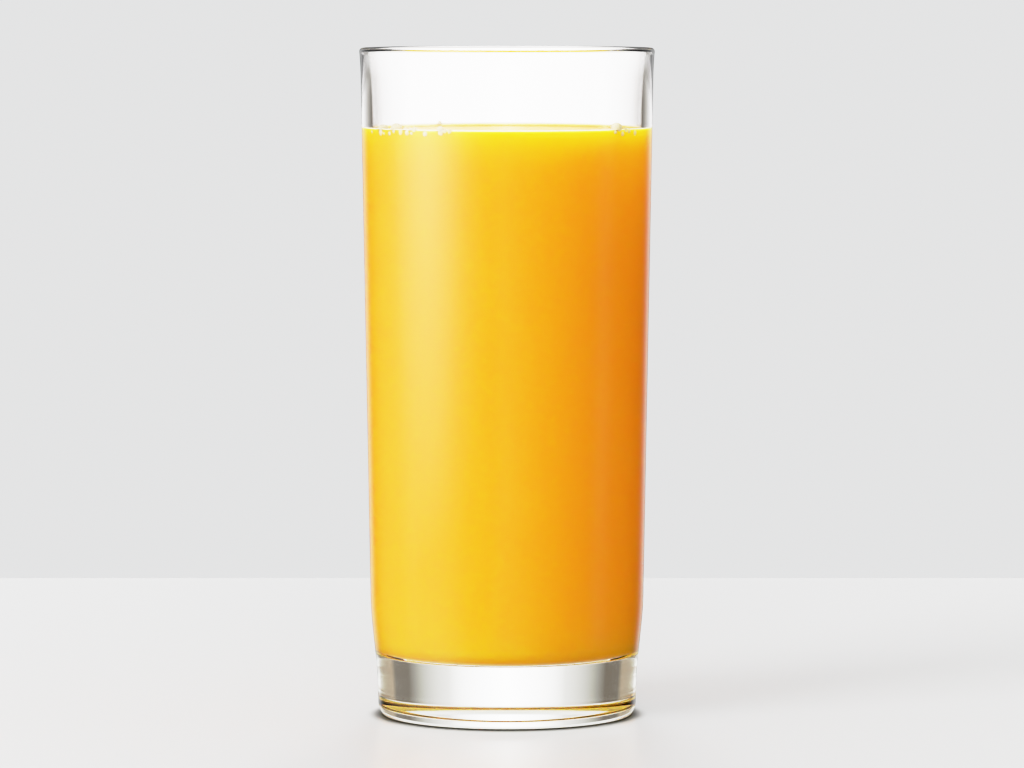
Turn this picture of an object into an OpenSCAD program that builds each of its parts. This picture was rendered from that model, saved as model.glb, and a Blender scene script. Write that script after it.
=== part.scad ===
// Tall, slightly tapered tumbler with a heavy base, filled with orange juice.
// Millimetres, +Z up. The origin is on the axis, in the plane that the glass stands on.

/* [Tumbler] */
// Height of the glass, from the surface it stands on to the top of its lip
glass_h = 150; // [130:1:185]
// Outer diameter that the straight wall reaches at the top
rim_d = 65.8; // [54:0.2:80]
// Outer diameter that the straight wall would have where it reaches the foot
foot_d = 60.6; // [49:0.2:73]

/* [Lip] */
// Thickness of the rounded lip
lip_t = 1.6; // [1:0.1:2.4]
// Height over which the wall thins to the lip
lip_run = 15; // [8:1:30]
// How far the lip flares out beyond the straight wall
flare = 0.2; // [0:0.05:1]
// Height over which the lip flares
flare_run = 6; // [3:1:15]

/* [Wall] */
// Thickness that the wall would have at the top if it did not thin to the lip
wall_top = 2.3; // [1.6:0.1:3.2]
// Thickness that the wall would have at the foot if the foot did not tuck in
wall_foot = 2.9; // [2:0.1:4]

/* [Base] */
// Thickness of the solid base under the drink
base_t = 13.7; // [8:0.5:20]
// How far the foot tucks in under the straight wall
foot_tuck = 1.3; // [0:0.05:2]
// Height from which the wall tucks in, on its way down
tuck_top = 26.6; // [20:0.2:40]
// Height at which it has tucked in fully
tuck_low = 5.4; // [4:0.2:12]
// Height of the oval heel, between the wall and the underside
heel_h = 2.8; // [1:0.1:4]
// Width of the oval heel
heel_w = 1.3; // [0.6:0.1:4]
// Width of the ring that the glass stands on
ring_w = 5; // [2:0.1:6]
// Height of the hollow inside that ring
punt_h = 0.5; // [0.2:0.1:2.5]
// Radius of the corner between the inside wall and the floor
floor_r = 4; // [3:0.5:10]

/* [Drink] */
// Free height from the lip down to the level of the drink
headspace = 18.2; // [10:0.1:40]
// How far the drink climbs the wall above its level
meniscus_h = 0.6; // [0.3:0.1:2.5]
// Distance from the wall over which that climb falls to about a third
meniscus_l = 1; // [0.6:0.1:3]

/* [Hidden] */
$fn = 128;

// Steps along each round or curved stretch of an outline
ARC_STEPS = 10;
LIP_STEPS = 14;
CURVE_STEPS = 12;
// The drink's surface is drawn as curved over this many times meniscus_l, and flat further in
MENISCUS_SPAN = 4;
// Half of the height over which a wall's slope is measured
SLOPE_STEP = 0.01;

level_z = glass_h - headspace;
contact_z = level_z + meniscus_h;
lip_z = glass_h - lip_t / 2;

function mix(a, b, t) = a + (b - a) * t;

// 1 at the end of a run and 0 at its start and before it, for a height d away from its end
function ease(d, run) = pow(max(0, 1 - d / run), 2);

// Rises smoothly from 0 to 1 as t does, and is level at both ends
function smooth(t) = let (u = min(1, max(0, t))) u * u * (3 - 2 * u);

// Points on an arc about [r, z], from angle a0 to angle a1
function arc(r, z, radius, a0, a1, steps) = [
    for (i = [0 : steps]) let (a = mix(a0, a1, i / steps)) [r + radius * cos(a), z + radius * sin(a)]
];

// Radius of the wall's outside before the foot tucks in, and the thickness measured in from it
function wall_r(z) = mix(foot_d, rim_d, z / glass_h) / 2 + flare * ease(lip_z - z, flare_run);
function wall_t(z) = mix(mix(wall_foot, wall_top, z / glass_h), lip_t, ease(lip_z - z, lip_run));

function outer_r(z) = wall_r(z) - foot_tuck * (1 - smooth((z - tuck_low) / (tuck_top - tuck_low)));
function inner_r(z) = wall_r(z) - wall_t(z);

// Angles of the two walls from the vertical
function outer_slope(z) = atan((outer_r(z + SLOPE_STEP) - outer_r(z - SLOPE_STEP)) / SLOPE_STEP / 2);
function inner_slope(z) = atan((inner_r(z + SLOPE_STEP) - inner_r(z - SLOPE_STEP)) / SLOPE_STEP / 2);

// The heel is a quarter of an oval, which leaves the outer wall at that wall's own slope and
// meets the standing plane flat
heel_a = atan(heel_h / heel_w * tan(outer_slope(heel_h)));
heel_z = heel_h * (1 - sin(heel_a));
heel_c = outer_r(heel_z) - heel_w * cos(heel_a);
punt_r = heel_c - ring_w;

// The inside corner leaves the inner wall and meets the floor in the same way
corner_a = inner_slope(base_t + floor_r);
corner_z = base_t + floor_r * (1 - sin(corner_a));
corner_c = inner_r(corner_z) - floor_r * cos(corner_a);

// Outside of the glass, from the axis under its base up to the lip
punt = [for (i = [0 : CURVE_STEPS]) let (t = i / CURVE_STEPS) [punt_r * t, punt_h * pow(1 - t * t, 2)]];
heel = [
    for (i = [0 : ARC_STEPS]) let (a = mix(-90, -heel_a, i / ARC_STEPS))
        [heel_c + heel_w * cos(a), heel_h * (1 + sin(a))]
];
foot = [for (i = [1 : CURVE_STEPS]) let (z = mix(heel_z, tuck_top, i / CURVE_STEPS)) [outer_r(z), z]];
top = [for (i = [0 : CURVE_STEPS]) let (z = mix(lip_z - flare_run, lip_z, i / CURVE_STEPS)) [outer_r(z), z]];
lip = arc(outer_r(lip_z) - lip_t / 2, lip_z, lip_t / 2, 0, 180, LIP_STEPS);

// Inside of the glass: the free wall from the lip down to the drink, then the corner at the floor
free_wall = [
    for (i = [0 : CURVE_STEPS]) let (z = mix(lip_z, contact_z, i / CURVE_STEPS)) [inner_r(z), z]
];
corner = arc(corner_c, base_t + floor_r, floor_r, -corner_a, -90, ARC_STEPS);

// Top of the drink, from its flat middle out to the line where it meets the wall
meniscus_end = exp(-MENISCUS_SPAN);
function climb(d) = meniscus_h * (exp(-d / meniscus_l) - meniscus_end) / (1 - meniscus_end);
surface = [
    for (i = [0 : CURVE_STEPS]) let (d = MENISCUS_SPAN * meniscus_l * pow(1 - i / CURVE_STEPS, 2))
        [inner_r(contact_z) - d, level_z + climb(d)]
];

// All points but the first, which repeats the last point of the stretch before
function rest(points) = [for (i = [1 : len(points) - 1]) points[i]];

module tumbler() {
    color("lightcyan", 0.35)
        rotate_extrude()
            polygon(concat(punt, heel, foot, top, rest(lip), rest(free_wall), corner, [[0, base_t]]));
}

module orange_juice() {
    color("orange")
        rotate_extrude()
            polygon(concat([[0, level_z]], surface, corner, [[0, base_t]]));
}

tumbler();
orange_juice();
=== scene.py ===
import math
import random

import bmesh
import bpy
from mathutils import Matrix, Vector


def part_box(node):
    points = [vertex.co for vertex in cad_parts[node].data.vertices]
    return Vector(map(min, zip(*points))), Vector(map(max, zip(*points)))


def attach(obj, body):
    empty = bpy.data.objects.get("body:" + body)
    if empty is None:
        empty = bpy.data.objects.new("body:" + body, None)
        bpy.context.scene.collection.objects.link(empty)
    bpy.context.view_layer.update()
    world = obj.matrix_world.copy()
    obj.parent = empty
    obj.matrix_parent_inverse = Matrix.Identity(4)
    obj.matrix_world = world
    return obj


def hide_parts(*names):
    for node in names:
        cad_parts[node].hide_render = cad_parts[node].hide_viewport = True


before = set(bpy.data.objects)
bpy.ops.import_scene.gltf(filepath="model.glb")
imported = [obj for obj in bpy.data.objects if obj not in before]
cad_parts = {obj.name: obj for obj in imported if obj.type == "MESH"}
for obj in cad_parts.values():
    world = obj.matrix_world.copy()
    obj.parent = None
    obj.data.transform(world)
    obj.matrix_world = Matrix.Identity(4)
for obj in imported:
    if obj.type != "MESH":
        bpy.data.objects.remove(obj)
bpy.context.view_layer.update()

MM = 0.001

# ---- Sizes, from the frame where it states them, and otherwise as the part's source names them ----
glass_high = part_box("tumbler")[1]
juice_low, juice_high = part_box("orange_juice")
GLASS_H = glass_high[2]
FLOOR_Z = juice_low[2]
CONTACT_Z = juice_high[2]

RIM_R = 32.9 * MM
FOOT_R = 30.3 * MM
LIP_T = 1.6 * MM
LIP_RUN = 15 * MM
FLARE = 0.2 * MM
FLARE_RUN = 6 * MM
WALL_TOP = 2.3 * MM
WALL_FOOT = 2.9 * MM
FOOT_TUCK = 1.3 * MM
TUCK_TOP = 26.6 * MM
TUCK_LOW = 5.4 * MM
HEEL_H = 2.8 * MM
HEEL_W = 1.3 * MM
RING_W = 5 * MM
PUNT_H = 0.5 * MM
CORNER_R = 4 * MM
MENISCUS_H = 0.6 * MM
MENISCUS_L = 1 * MM
MENISCUS_SPAN = 4
LIP_Z = GLASS_H - LIP_T / 2
LEVEL_Z = CONTACT_Z - MENISCUS_H

# The drink's mesh reaches this far into the glass, so that no air gap shows between them
SEAT = 0.12 * MM
SEGMENTS = 240


# ---- Outlines ----
def mix(a, b, t):
    return a + (b - a) * t


def steps(a, b, count):
    """Evenly spaced values from a to b, both included."""
    return [mix(a, b, i / count) for i in range(count + 1)]


def ease(d, run):
    return max(0.0, 1 - d / run) ** 2


def smooth(t):
    u = min(1.0, max(0.0, t))
    return u * u * (3 - 2 * u)


def arc(r, z, radius, a0, a1, count):
    return [(r + radius * math.cos(a), z + radius * math.sin(a)) for a in steps(a0, a1, count)]


def wall_r(z):
    return mix(FOOT_R, RIM_R, z / GLASS_H) + FLARE * ease(LIP_Z - z, FLARE_RUN)


def wall_t(z):
    return mix(mix(WALL_FOOT, WALL_TOP, z / GLASS_H), LIP_T, ease(LIP_Z - z, LIP_RUN))


def outer_r(z):
    return wall_r(z) - FOOT_TUCK * (1 - smooth((z - TUCK_LOW) / (TUCK_TOP - TUCK_LOW)))


def inner_r(z):
    return wall_r(z) - wall_t(z)


def slope(radius_at, z):
    step = 0.01 * MM
    return math.atan((radius_at(z + step) - radius_at(z - step)) / step / 2)


def corner_arc(grow, count):
    """The round corner between the inside wall and the floor, grown outwards by grow."""
    a = slope(inner_r, FLOOR_Z + CORNER_R)
    z = FLOOR_Z + CORNER_R * (1 - math.sin(a))
    c = inner_r(z) - CORNER_R * math.cos(a)
    return arc(c, FLOOR_Z + CORNER_R, CORNER_R + grow, -a, -math.pi / 2, count)


def glass_outline():
    heel_a = math.atan(HEEL_H / HEEL_W * math.tan(slope(outer_r, HEEL_H)))
    heel_z = HEEL_H * (1 - math.sin(heel_a))
    heel_c = outer_r(heel_z) - HEEL_W * math.cos(heel_a)
    punt_r = heel_c - RING_W
    punt = [(punt_r * t, PUNT_H * (1 - t * t) ** 2) for t in steps(0, 1, 24)]
    heel_turns = steps(-math.pi / 2, -heel_a, 20)
    heel = [(heel_c + HEEL_W * math.cos(a), HEEL_H * (1 + math.sin(a))) for a in heel_turns]
    foot = [(outer_r(z), z) for z in steps(heel_z, TUCK_TOP, 40)]
    top = [(outer_r(z), z) for z in steps(LIP_Z - FLARE_RUN, LIP_Z, 14)]
    lip = arc(outer_r(LIP_Z) - LIP_T / 2, LIP_Z, LIP_T / 2, 0, math.pi, 24)
    free_wall = [(inner_r(z), z) for z in steps(LIP_Z, CONTACT_Z, 24)]
    corner = corner_arc(0, 20)
    return punt + heel + foot[1:] + top + lip[1:] + free_wall[1:] + corner + [(0, FLOOR_Z)]


def climb(d):
    """How far the drink's surface stands above its level, at a distance d from the wall."""
    end = math.exp(-MENISCUS_SPAN)
    return MENISCUS_H * (math.exp(-max(d, 0) / MENISCUS_L) - end) / (1 - end)


def juice_outline():
    wall = inner_r(CONTACT_Z)
    run = MENISCUS_SPAN * MENISCUS_L
    surface = [(wall - run * t * t, LEVEL_Z + climb(run * t * t)) for t in steps(1, 0, 30)]
    edge = [(wall + SEAT, CONTACT_Z)]
    side = [(inner_r(z) + SEAT, z) for z in steps(CONTACT_Z, FLOOR_Z + CORNER_R, 60)][1:-1]
    return [(0, LEVEL_Z)] + surface + edge, side + corner_arc(SEAT, 20) + [(0, FLOOR_Z - SEAT)]


# ---- Meshes ----
def lathe(name, outline, materials, first_slot_rows=None):
    """Turns an outline about Z. Rows before first_slot_rows take the first material, the rest the second."""
    bm = bmesh.new()
    rings = []
    for r, z in outline:
        if r == 0:
            rings.append([bm.verts.new((0, 0, z))])
        else:
            rings.append([
                bm.verts.new((r * math.cos(a), r * math.sin(a), z))
                for a in (2 * math.pi * i / SEGMENTS for i in range(SEGMENTS))
            ])
    for row, (low, high) in enumerate(zip(rings, rings[1:])):
        for i in range(SEGMENTS):
            j = (i + 1) % SEGMENTS
            if len(low) == 1:
                corners = [low[0], high[j], high[i]]
            elif len(high) == 1:
                corners = [low[i], low[j], high[0]]
            else:
                corners = [low[i], low[j], high[j], high[i]]
            face = bm.faces.new(corners)
            face.smooth = True
            if first_slot_rows is not None and row >= first_slot_rows:
                face.material_index = 1
    bmesh.ops.recalc_face_normals(bm, faces=bm.faces)
    mesh = bpy.data.meshes.new(name)
    bm.to_mesh(mesh)
    bm.free()
    obj = bpy.data.objects.new(name, mesh)
    bpy.context.scene.collection.objects.link(obj)
    for material in materials:
        mesh.materials.append(material)
    return obj


# ---- Materials ----
def new_material(name):
    material = bpy.data.materials.new(name)
    material.use_nodes = True
    nodes = material.node_tree.nodes
    return material, nodes, material.node_tree.links, nodes["Principled BSDF"]


GLASS_IOR = 1.5
GLASS_TINT = (0.75, 0.9, 0.7, 1)
GLASS_DENSITY = 3.0


def glass_material():
    material, nodes, links, shader = new_material("clear_glass")
    shader.inputs["Base Color"].default_value = (1.0, 1.0, 1.0, 1)
    shader.inputs["Transmission Weight"].default_value = 1.0
    shader.inputs["Roughness"].default_value = 0.0
    shader.inputs["IOR"].default_value = GLASS_IOR
    absorb = nodes.new("ShaderNodeVolumeAbsorption")
    absorb.inputs["Color"].default_value = GLASS_TINT
    absorb.inputs["Density"].default_value = GLASS_DENSITY
    links.new(absorb.outputs["Volume"], nodes["Material Output"].inputs["Volume"])
    return material


JUICE_COLOUR = (0.92, 0.30, 0.006)
# The open surface is painted lighter and yellower than the side: painted light from above
PAINTED_LIT_TOP_COLOUR = (0.95, 0.45, 0.05)
# A painted pale cream: painted light at the juice's thin edge near its level
PAINTED_PALE_EDGE_COLOUR = (1.0, 0.88, 0.62)
# Painted light on the juice's underside, which is seen through the base
PAINTED_UNDERSIDE_LIGHT_COLOUR = (0.8, 0.6, 0.25)
# The underside's painted light fades into the juice's own colour over this height above the floor of the
# glass
PAINTED_UNDERSIDE_RISE = 1.2 * MM
JUICE_IOR = 1.35
# As from glass into juice: all light is mirrored at grazing angles
JUICE_IN_GLASS_IOR = 0.9
SURFACE_MIRROR = (0.8, 0.45, 0.22, 1)
JUICE_ROUGHNESS = 0.12
PULP_SCALE = 900
PULP_DETAIL = 3
PULP_CONTRAST = 0.04
# How far red, green and blue light spreads in the juice, times the scale in metres
GLOW_RADIUS = (1.0, 0.8, 0.25)
GLOW_SCALE = 0.04
# The heights between which the juice thins out, on its open surface and against the wall, and over which its
# colour fades into a pale cream of painted light
SURFACE_PAINTED_EDGE = (LEVEL_Z + 0.25 * MM, LEVEL_Z + 0.55 * MM)
SIDE_PAINTED_EDGE = (LEVEL_Z + 0.35 * MM, LEVEL_Z + 0.6 * MM)


def mix_colours(nodes, links, factor, a, b):
    """A node that mixes two colours, each a plain colour or another node's output."""
    node = nodes.new("ShaderNodeMix")
    node.data_type = "RGBA"
    links.new(factor, node.inputs["Factor"])
    for socket, colour in ((node.inputs["A"], a), (node.inputs["B"], b)):
        if isinstance(colour, tuple):
            socket.default_value = colour + (1,)
        else:
            links.new(colour, socket)
    return node.outputs["Result"]


def juice_material(name, colour, painted_edge_span):
    """Juice with fine pulp, with painted light underneath and a painted pale band where it thins out towards
    the wall.
    """
    material, nodes, links, shader = new_material(name)
    coordinates = nodes.new("ShaderNodeTexCoord")
    pulp = nodes.new("ShaderNodeTexNoise")
    pulp.inputs["Scale"].default_value = PULP_SCALE
    pulp.inputs["Detail"].default_value = PULP_DETAIL
    links.new(coordinates.outputs["Object"], pulp.inputs["Vector"])
    darker = tuple(c * (1 - PULP_CONTRAST) for c in colour)
    lighter = tuple(min(1, c * (1 + PULP_CONTRAST)) for c in colour)
    shade = mix_colours(nodes, links, pulp.outputs["Fac"], darker, lighter)
    parts = nodes.new("ShaderNodeSeparateXYZ")
    links.new(coordinates.outputs["Object"], parts.inputs[0])
    # Painted light: the colour fades up into a pale cream towards the thin edge
    painted_pale_edge = nodes.new("ShaderNodeMapRange")
    painted_pale_edge.interpolation_type = "SMOOTHSTEP"
    painted_pale_edge.inputs["From Min"].default_value = painted_edge_span[0]
    painted_pale_edge.inputs["From Max"].default_value = painted_edge_span[1]
    links.new(parts.outputs["Z"], painted_pale_edge.inputs["Value"])
    shade = mix_colours(nodes, links, painted_pale_edge.outputs["Result"], shade, PAINTED_PALE_EDGE_COLOUR)
    # Painted light: the underside takes a paler, duller colour
    painted_underside = nodes.new("ShaderNodeMapRange")
    painted_underside.interpolation_type = "SMOOTHSTEP"
    painted_underside.inputs["From Min"].default_value = FLOOR_Z
    painted_underside.inputs["From Max"].default_value = FLOOR_Z + PAINTED_UNDERSIDE_RISE
    links.new(parts.outputs["Z"], painted_underside.inputs["Value"])
    shade = mix_colours(nodes, links, painted_underside.outputs["Result"], PAINTED_UNDERSIDE_LIGHT_COLOUR, shade)
    links.new(shade, shader.inputs["Base Color"])
    shader.inputs["Roughness"].default_value = JUICE_ROUGHNESS
    shader.inputs["IOR"].default_value = JUICE_IOR
    shader.inputs["Specular IOR Level"].default_value = 0.0
    # The painted pale edge doesn't glow from within
    depth = nodes.new("ShaderNodeMath")
    depth.operation = "SUBTRACT"
    depth.inputs[0].default_value = 1.0
    links.new(painted_pale_edge.outputs["Result"], depth.inputs[1])
    links.new(depth.outputs[0], shader.inputs["Subsurface Weight"])
    shader.inputs["Subsurface Radius"].default_value = GLOW_RADIUS
    shader.inputs["Subsurface Scale"].default_value = GLOW_SCALE
    return material, nodes, links, shader


def add_mirror(parts, ior, colour, roughness):
    """Covers a shader with a mirror that is as strong as the Fresnel effect at that index of refraction."""
    material, nodes, links, shader = parts
    fresnel = nodes.new("ShaderNodeFresnel")
    fresnel.inputs["IOR"].default_value = ior
    mirror = nodes.new("ShaderNodeBsdfGlossy")
    mirror.inputs["Color"].default_value = colour
    mirror.inputs["Roughness"].default_value = roughness
    mixed = nodes.new("ShaderNodeMixShader")
    links.new(fresnel.outputs[0], mixed.inputs[0])
    links.new(shader.outputs[0], mixed.inputs[1])
    links.new(mirror.outputs[0], mixed.inputs[2])
    links.new(mixed.outputs[0], nodes["Material Output"].inputs["Surface"])
    return material


def juice_surface():
    """The open surface, painted lighter and yellower than the side as painted light from above, whose
    mirrored light at low angles is cream.
    """
    parts = juice_material("juice_surface", PAINTED_LIT_TOP_COLOUR, SURFACE_PAINTED_EDGE)
    return add_mirror(parts, JUICE_IOR, SURFACE_MIRROR, JUICE_ROUGHNESS)


def juice_side():
    """Juice against the glass, a boundary that mirrors only at grazing angles."""
    parts = juice_material("juice_side", JUICE_COLOUR, SIDE_PAINTED_EDGE)
    return add_mirror(parts, JUICE_IN_GLASS_IOR, (1, 1, 1, 1), 0.0)


FILM_COLOUR = (1.0, 0.88, 0.58, 1)
FILM_CLEARNESS = 0.6
FILM_ROUGHNESS = 0.03
FILM_IOR = 1.34


def bubble_material():
    material, nodes, links, shader = new_material("bubble_film")
    shader.inputs["Base Color"].default_value = FILM_COLOUR
    shader.inputs["Transmission Weight"].default_value = FILM_CLEARNESS
    shader.inputs["Roughness"].default_value = FILM_ROUGHNESS
    shader.inputs["IOR"].default_value = FILM_IOR
    return material


# ---- Bubbles ----
# Each group: its two ends as azimuths from the camera's side, positive to the left; how many bubbles are
# tried in it; their smallest and largest radius; and how far in from the wall it reaches
BUBBLE_GROUPS = [
    (22, 38, 26, 0.5 * MM, 1.3 * MM, 2.4 * MM),
    (40, 72, 26, 0.4 * MM, 1.1 * MM, 1.8 * MM),
    (-64, -46, 22, 0.45 * MM, 1.2 * MM, 2.0 * MM),
    (100, 150, 14, 0.2 * MM, 0.7 * MM, 1.5 * MM),
    (-150, -80, 16, 0.2 * MM, 0.7 * MM, 1.5 * MM),
]
BUBBLE_SEED = 7
# How far the bubbles press past the wall's inner face
BUBBLE_PRESS = 0.6 * MM
# How far a bubble's centre strays from the level, and how near two centres may come, as shares of their radii
BUBBLE_STRAY = 0.9
BUBBLE_SPACING = 0.8
# The film's share of a bubble's radius, and the steps in which a bubble is drawn
FILM = 0.1
BUBBLE_SIDES = 20
BUBBLE_ROWS = 12


def place_bubbles():
    """Centres and radii of the bubbles, scattered along the wall. They may overlap a little, as in froth."""
    rng = random.Random(BUBBLE_SEED)
    wall = inner_r(CONTACT_Z)
    placed = []
    for start, end, tries, small, large, reach in BUBBLE_GROUPS:
        for _ in range(tries):
            radius = mix(small, large, rng.random() ** 2)
            a = math.radians(mix(start, end, rng.random()))
            gap = mix(radius, max(radius, reach), rng.random() ** 3)
            from_axis = wall - gap + BUBBLE_PRESS
            z = LEVEL_Z + mix(-BUBBLE_STRAY, BUBBLE_STRAY, rng.random()) * radius
            centre = Vector((-from_axis * math.sin(a), -from_axis * math.cos(a), z))
            if all((centre - other).length > BUBBLE_SPACING * (radius + size) for other, size in placed):
                placed.append((centre, radius))
    return placed


def sphere_points(centre, radius):
    """Rings of points from the south pole to the north pole of a sphere."""
    points = [centre + Vector((0, 0, -radius))]
    for low in steps(-math.pi / 2, math.pi / 2, BUBBLE_ROWS)[1:-1]:
        for turn in range(BUBBLE_SIDES):
            a = 2 * math.pi * turn / BUBBLE_SIDES
            offset = Vector((math.cos(low) * math.cos(a), math.cos(low) * math.sin(a), math.sin(low)))
            points.append(centre + offset * radius)
    return points + [centre + Vector((0, 0, radius))]


def sphere_faces(first, inward):
    """Faces over the points of a sphere whose first point has that index."""
    last = first + 1 + (BUBBLE_ROWS - 1) * BUBBLE_SIDES
    faces = []
    for turn in range(BUBBLE_SIDES):
        after = (turn + 1) % BUBBLE_SIDES
        faces.append((first, first + 1 + after, first + 1 + turn))
        for row in range(BUBBLE_ROWS - 2):
            low = first + 1 + row * BUBBLE_SIDES
            high = low + BUBBLE_SIDES
            faces.append((low + turn, low + after, high + after, high + turn))
        faces.append((last - BUBBLE_SIDES + turn, last - BUBBLE_SIDES + after, last))
    return [face[::-1] for face in faces] if inward else faces


def build_bubbles():
    points, faces = [], []
    for centre, radius in place_bubbles():
        for size, inward in ((radius, False), (radius * (1 - FILM), True)):
            faces += sphere_faces(len(points), inward)
            points += sphere_points(centre, size)
    mesh = bpy.data.meshes.new("bubbles")
    mesh.from_pydata(points, [], faces)
    mesh.polygons.foreach_set("use_smooth", [True] * len(faces))
    mesh.materials.append(bubble_material())
    obj = bpy.data.objects.new("bubbles", mesh)
    bpy.context.scene.collection.objects.link(obj)
    return obj


# ---- Stage ----
# A painted contact shadow: the floor darkens towards the ring that the glass stands on,
# between these distances from a centre that lies a little in front of the axis
CONTACT_SHADE_FROM = 28 * MM
CONTACT_SHADE_TO = 32 * MM
CONTACT_SHADE_AHEAD = 2 * MM
PAINTED_CONTACT_SHADOW_COLOUR = (0.03, 0.027, 0.018)
FLOOR_COLOUR = (0.5, 0.5, 0.5)
FLOOR_GLOSS = 0.5
FLOOR_ROUGHNESS = 0.3
# How far the floor reaches from the axis. Its back edge is the table's edge behind the glass
FLOOR_BACK = 0.2756
FLOOR_SIDE = 1.6
FLOOR_FRONT = 1.6


def floor_material():
    material, nodes, links, shader = new_material("pale_floor")
    coordinates = nodes.new("ShaderNodeTexCoord")
    distance = nodes.new("ShaderNodeVectorMath")
    distance.operation = "LENGTH"
    ahead = nodes.new("ShaderNodeVectorMath")
    ahead.inputs[1].default_value = (0, CONTACT_SHADE_AHEAD, 0)
    links.new(coordinates.outputs["Object"], ahead.inputs[0])
    links.new(ahead.outputs[0], distance.inputs[0])
    # Painted contact shadow: it darkens the floor's colour and dims its gloss towards the glass
    painted_shadow = nodes.new("ShaderNodeMapRange")
    painted_shadow.interpolation_type = "SMOOTHSTEP"
    painted_shadow.inputs["From Min"].default_value = CONTACT_SHADE_FROM
    painted_shadow.inputs["From Max"].default_value = CONTACT_SHADE_TO
    links.new(distance.outputs["Value"], painted_shadow.inputs["Value"])
    shade = mix_colours(nodes, links, painted_shadow.outputs["Result"], PAINTED_CONTACT_SHADOW_COLOUR, FLOOR_COLOUR)
    links.new(shade, shader.inputs["Base Color"])
    gloss = nodes.new("ShaderNodeMath")
    gloss.operation = "MULTIPLY"
    gloss.inputs[1].default_value = FLOOR_GLOSS
    links.new(painted_shadow.outputs["Result"], gloss.inputs[0])
    links.new(gloss.outputs[0], shader.inputs["Specular IOR Level"])
    shader.inputs["Roughness"].default_value = FLOOR_ROUGHNESS
    return material


def build_floor():
    corners = [(x, y, 0) for x, y in ((-FLOOR_SIDE, -FLOOR_FRONT), (FLOOR_SIDE, -FLOOR_FRONT),
                                      (FLOOR_SIDE, FLOOR_BACK), (-FLOOR_SIDE, FLOOR_BACK))]
    mesh = bpy.data.meshes.new("stage_floor")
    mesh.from_pydata(corners, [], [(0, 1, 2, 3)])
    floor = bpy.data.objects.new("stage_floor", mesh)
    bpy.context.scene.collection.objects.link(floor)
    mesh.materials.append(floor_material())
    floor.visible_glossy = False
    floor.visible_transmission = False


# ---- World ----
DEGREES = 180 / math.pi
BACKDROP = (0.86, 0.865, 0.87, 1)
FILL_STRENGTH = 0.95
# What glass shows through itself, by the angle that a direction makes with the line from front to back: a
# white surround with narrow dark flags, and duller bands beside them
SURROUND_STRENGTH = 4
SURROUND = [
    (0, (1, 0.98, 0.99)), (9, (0.6, 0.58, 0.585)), (18, (0.27, 0.26, 0.255)), (30, (0.13, 0.125, 0.115)),
    (37, (0.046, 0.037, 0.028)), (47, (0.046, 0.037, 0.028)), (51, (0.12, 0.095, 0.065)),
    (72, (0.11, 0.09, 0.06)), (80, (0.3, 0.29, 0.28)), (90, (1, 0.98, 0.99)),
]
# The bands fade into one even tone between these angles above and below the horizon
SURROUND_FADE = (10, 15)
SURROUND_EVEN = (0.32, 0.315, 0.31)
# Azimuths in the studio are from the camera's side, positive to the left. The softbox has an azimuth and a
# spread, and grows from its first strength to its second between two elevations
SOFTBOX_AZIMUTH = 65
SOFTBOX_SPREAD = 19
SOFTBOX_ELEVATIONS = (-8, -2.6)
SOFTBOX_STRENGTHS = (0.9, 7)
# Two strips stand behind, at this azimuth to either side
STRIP_AZIMUTH = 162
STRIP_SPREAD = 8
STRIP_STRENGTH = 0.8
# The wall on the left fades in between the first two azimuths and out between the second two
WALL_FADE_IN = (70, 100)
WALL_FADE_OUT = (110, 150)
WALL_STRENGTH = 0.35
# The strip overhead fades out sideways, and fades in with the elevation and towards the back
OVERHEAD_SIDEWAYS = (0.3, 0.5)
OVERHEAD_ELEVATIONS = (45, 55)
OVERHEAD_BACK = (0.05, 0.2)
OVERHEAD_STRENGTH = 8


class WorldNodes:
    """The world's node tree, with a method for each kind of node that it holds."""

    def __init__(self, tree):
        self.nodes = tree.nodes
        self.links = tree.links
        self.nodes.clear()

    def math(self, operation, *values):
        node = self.nodes.new("ShaderNodeMath")
        node.operation = operation
        for socket, value in zip(node.inputs, values):
            if isinstance(value, (int, float)):
                socket.default_value = value
            else:
                self.links.new(value, socket)
        return node.outputs[0]

    def background(self, colour, strength=1.0):
        node = self.nodes.new("ShaderNodeBackground")
        if isinstance(colour, tuple):
            node.inputs["Color"].default_value = colour
        else:
            self.links.new(colour, node.inputs["Color"])
        node.inputs["Strength"].default_value = strength
        return node.outputs[0]

    def choose(self, factor, off, on):
        node = self.nodes.new("ShaderNodeMixShader")
        self.links.new(factor, node.inputs[0])
        self.links.new(off, node.inputs[1])
        self.links.new(on, node.inputs[2])
        return node.outputs[0]

    def ramp(self, value, low, high, at_low, at_high, eased=False):
        node = self.nodes.new("ShaderNodeMapRange")
        node.interpolation_type = "SMOOTHSTEP" if eased else "LINEAR"
        self.links.new(value, node.inputs["Value"])
        for socket, number in zip(("From Min", "From Max", "To Min", "To Max"), (low, high, at_low, at_high)):
            node.inputs[socket].default_value = number
        return node.outputs["Result"]

    def bell(self, value, centre, width):
        """1 where value is at centre, and falling off to both sides like a bell of that width."""
        offset = self.math("DIVIDE", self.math("SUBTRACT", value, centre), width)
        return self.math("EXPONENT", self.math("MULTIPLY", self.math("MULTIPLY", offset, offset), -0.5))


def surround(world, x, y, elevation):
    """What glass shows through itself."""
    turn = world.math("ARCTAN2", world.math("ABSOLUTE", x), world.math("ABSOLUTE", y))
    bands = world.nodes.new("ShaderNodeValToRGB")
    world.links.new(world.math("DIVIDE", world.math("MULTIPLY", turn, DEGREES), 90), bands.inputs[0])
    stops = bands.color_ramp.elements
    while len(stops) < len(SURROUND):
        stops.new(0.5)
    for stop, (angle, colour) in zip(stops, SURROUND):
        stop.position = angle / 90
        stop.color = colour + (1,)
    steep = world.ramp(world.math("ABSOLUTE", elevation), *SURROUND_FADE, 0, 1, True)
    colour = mix_colours(world.nodes, world.links, steep, bands.outputs["Color"], SURROUND_EVEN)
    return world.background(colour, SURROUND_STRENGTH)


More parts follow.
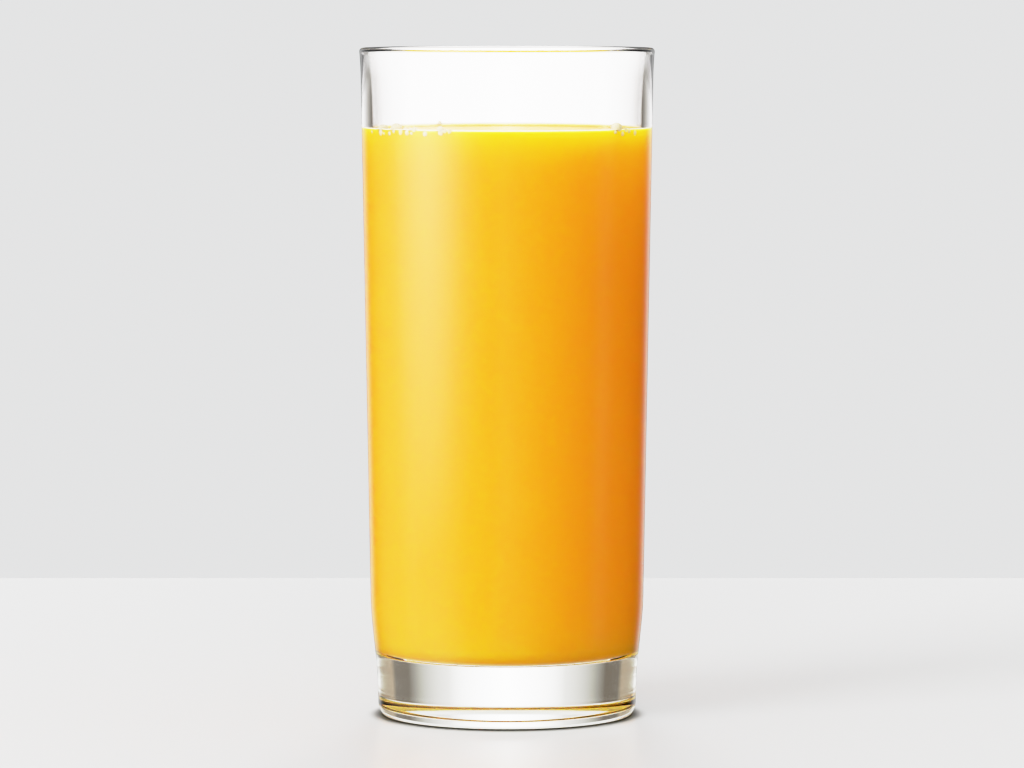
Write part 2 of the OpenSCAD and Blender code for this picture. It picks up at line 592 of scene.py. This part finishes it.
def studio(world, x, y, elevation):
    """What is mirrored: a tall softbox and a wall on the left, two strips behind, and one overhead."""
    flipped = world.math("ARCTAN2", world.math("MULTIPLY", x, -1), world.math("MULTIPLY", y, -1))
    azimuth = world.math("MULTIPLY", flipped, DEGREES)
    growth = world.ramp(elevation, *SOFTBOX_ELEVATIONS, *SOFTBOX_STRENGTHS)
    box = world.math("MULTIPLY", world.bell(azimuth, SOFTBOX_AZIMUTH, SOFTBOX_SPREAD), growth)
    strips = world.bell(world.math("ABSOLUTE", azimuth), STRIP_AZIMUTH, STRIP_SPREAD)
    strips = world.math("MULTIPLY", strips, STRIP_STRENGTH)
    wall_start = world.ramp(azimuth, *WALL_FADE_IN, 0, WALL_STRENGTH, True)
    wall_end = world.ramp(azimuth, *WALL_FADE_OUT, 1, 0, True)
    wall = world.math("MULTIPLY", wall_start, wall_end)
    narrow = world.ramp(world.math("ABSOLUTE", x), *OVERHEAD_SIDEWAYS, 1, 0, True)
    high = world.ramp(elevation, *OVERHEAD_ELEVATIONS, 0, OVERHEAD_STRENGTH, True)
    overhead = world.math("MULTIPLY", narrow, high)
    overhead = world.math("MULTIPLY", overhead, world.ramp(y, *OVERHEAD_BACK, 0, 1, True))
    walls = world.math("ADD", strips, world.math("ADD", wall, overhead))
    return world.background(world.math("ADD", box, walls))


def build_world():
    """A backdrop for the camera, a surround for glass, a studio for mirrors, an even fill for the rest."""
    data = bpy.data.worlds.new("studio")
    data.use_nodes = True
    bpy.context.scene.world = data
    world = WorldNodes(data.node_tree)
    out = world.nodes.new("ShaderNodeOutputWorld")
    path = world.nodes.new("ShaderNodeLightPath")
    coordinates = world.nodes.new("ShaderNodeTexCoord")
    parts = world.nodes.new("ShaderNodeSeparateXYZ")
    world.links.new(coordinates.outputs["Generated"], parts.inputs[0])
    x, y, z = (parts.outputs[axis] for axis in "XYZ")
    elevation = world.math("MULTIPLY", world.math("ARCSINE", z), DEGREES)
    through = surround(world, x, y, elevation)
    reflected = studio(world, x, y, elevation)
    seen = world.background(BACKDROP)
    fill = world.background((1, 1, 1, 1), FILL_STRENGTH)
    first = world.math("LESS_THAN", path.outputs["Diffuse Depth"], 0.5)
    is_through = world.math("MULTIPLY", path.outputs["Is Transmission Ray"], first)
    is_reflected = world.math("MULTIPLY", path.outputs["Is Reflection Ray"], first)
    light = world.choose(is_reflected, fill, reflected)
    light = world.choose(is_through, light, through)
    light = world.choose(path.outputs["Is Camera Ray"], light, seen)
    world.links.new(light, out.inputs["Surface"])


# ---- Lights, camera and colour ----
def add_light(name, light, azimuth, distance, height, aim_z):
    """Places a light at an azimuth from the camera's side, positive to the left, and aims it at the glass."""
    obj = bpy.data.objects.new(name, light)
    bpy.context.scene.collection.objects.link(obj)
    a = math.radians(azimuth)
    obj.location = (-distance * math.sin(a), -distance * math.cos(a), height)
    obj.rotation_mode = "QUATERNION"
    obj.rotation_quaternion = (Vector((0, 0, aim_z)) - obj.location).to_track_quat("-Z", "Y")
    # The world's own surround is what glass mirrors and shows, so the lamps only light
    obj.visible_glossy = False
    obj.visible_transmission = False


LAMP_WIDTH = 0.8
LAMP_TALL = 1.2
SPOT_RADIUS = 0.02
# The heights on the glass that the lamps point at
LAMP_AIM = 0.07
SPOT_AIM = 0.15


def area_light(name, azimuth, distance, height, power):
    light = bpy.data.lights.new(name, "AREA")
    light.shape = "RECTANGLE"
    light.size = LAMP_WIDTH
    light.size_y = LAMP_TALL
    light.energy = power
    add_light(name, light, azimuth, distance, height, LAMP_AIM)


def spot_light(name, azimuth, distance, height, cone, power):
    light = bpy.data.lights.new(name, "SPOT")
    light.spot_size = math.radians(cone)
    light.spot_blend = 1.0
    light.shadow_soft_size = SPOT_RADIUS
    light.energy = power
    add_light(name, light, azimuth, distance, height, SPOT_AIM)


def build_lights():
    area_light("key_left", azimuth=50, distance=1.6, height=0.5, power=62)
    area_light("front", azimuth=0, distance=1.6, height=0.5, power=23)
    area_light("back", azimuth=180, distance=1.4, height=0.9, power=45)
    spot_light("top_right", azimuth=-80, distance=1.2, height=0.2, cone=4, power=50)


CAMERA_DISTANCE = 1.25
CAMERA_HEIGHT = 0.1691
CAMERA_PITCH = 4.33
CAMERA_LENS = 195.8
# How far the picture is shifted sideways, as a share of its width
CAMERA_SHIFT = 5 / 1024
SENSOR_WIDTH = 36


def build_camera():
    data = bpy.data.cameras.new("camera")
    data.lens = CAMERA_LENS
    data.sensor_width = SENSOR_WIDTH
    data.clip_start = 0.01
    data.clip_end = 50
    data.shift_x = CAMERA_SHIFT
    camera = bpy.data.objects.new("camera", data)
    bpy.context.scene.collection.objects.link(camera)
    camera.location = (0, -CAMERA_DISTANCE, CAMERA_HEIGHT)
    camera.rotation_mode = "QUATERNION"
    p = math.radians(CAMERA_PITCH)
    camera.rotation_quaternion = Vector((0, math.cos(p), -math.sin(p))).to_track_quat("-Z", "Y")
    bpy.context.scene.camera = camera


# The tone curve, as pairs of light in and tone out, and the light and the tone at which it ends
SHOULDER_END = 4
SHOULDER_TOP = 0.985
SHOULDER = [(0.35, 0.35), (0.7, 0.69), (1.0, 0.82), (1.4, 0.9), (1.9, 0.94), (2.6, 0.962)]


def build_colour_management():
    scene = bpy.context.scene
    scene.view_settings.view_transform = "Standard"
    # A soft shoulder, as a camera has, in place of a hard clip
    curves = scene.view_settings.curve_mapping
    curves.white_level = (SHOULDER_END, SHOULDER_END, SHOULDER_END)
    points = curves.curves[3].points
    points[0].location = (0, 0)
    points[1].location = (1, SHOULDER_TOP)
    for x, y in SHOULDER:
        points.new(x / SHOULDER_END, y)
    curves.update()
    scene.view_settings.use_curve_mapping = True
    scene.cycles.caustics_reflective = False


build_camera()
build_world()
build_lights()
build_floor()
build_colour_management()

glass = lathe("glass_body", glass_outline(), [glass_material()])
glass.visible_shadow = False
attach(glass, "root")
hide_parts("tumbler")

top, body = juice_outline()
juice = lathe("juice_body", top + body, [juice_surface(), juice_side()], len(top) - 1)
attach(juice, "root")
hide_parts("orange_juice")

bubbles = build_bubbles()
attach(bubbles, "root")
